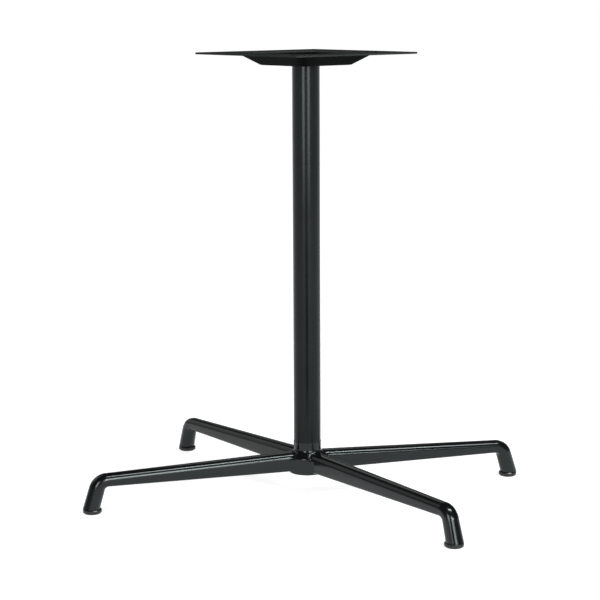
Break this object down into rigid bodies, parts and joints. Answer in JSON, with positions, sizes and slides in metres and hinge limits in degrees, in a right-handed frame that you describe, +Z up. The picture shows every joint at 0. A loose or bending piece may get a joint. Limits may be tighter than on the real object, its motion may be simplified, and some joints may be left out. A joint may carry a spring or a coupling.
{
  "type": "table base",
  "caption": "Pedestal table base with a round column, a cast base of splayed arms on foot glides and a square pressed plate that carries the table top.",
  "frame": {"origin": "on the floor, under the column's axis", "axes": "+Z up along the column; +X along the long side of the rectangle that the feet stand on"},
  "size_m": [0.6166, 0.4406, 0.72],
  "materials": {
    "black_coating": "semi-gloss powder coat",
    "zinc_steel": "zinc plated",
    "black_plastic": "moulded, slightly worn"
  },
  "bodies": {
    "root": {"top_plate": "black_coating", "column_tube": "black_coating", "base_casting": "black_coating", "tie_rod": "zinc_steel", "upper_washer": "zinc_steel", "upper_nut": "zinc_steel", "lower_washer": "zinc_steel", "lower_nut": "zinc_steel", "foot_glide_back_right": "black_plastic", "foot_glide_back_left": "black_plastic", "foot_glide_front_left": "black_plastic", "foot_glide_front_right": "black_plastic"}
  },
  "joints": []
}
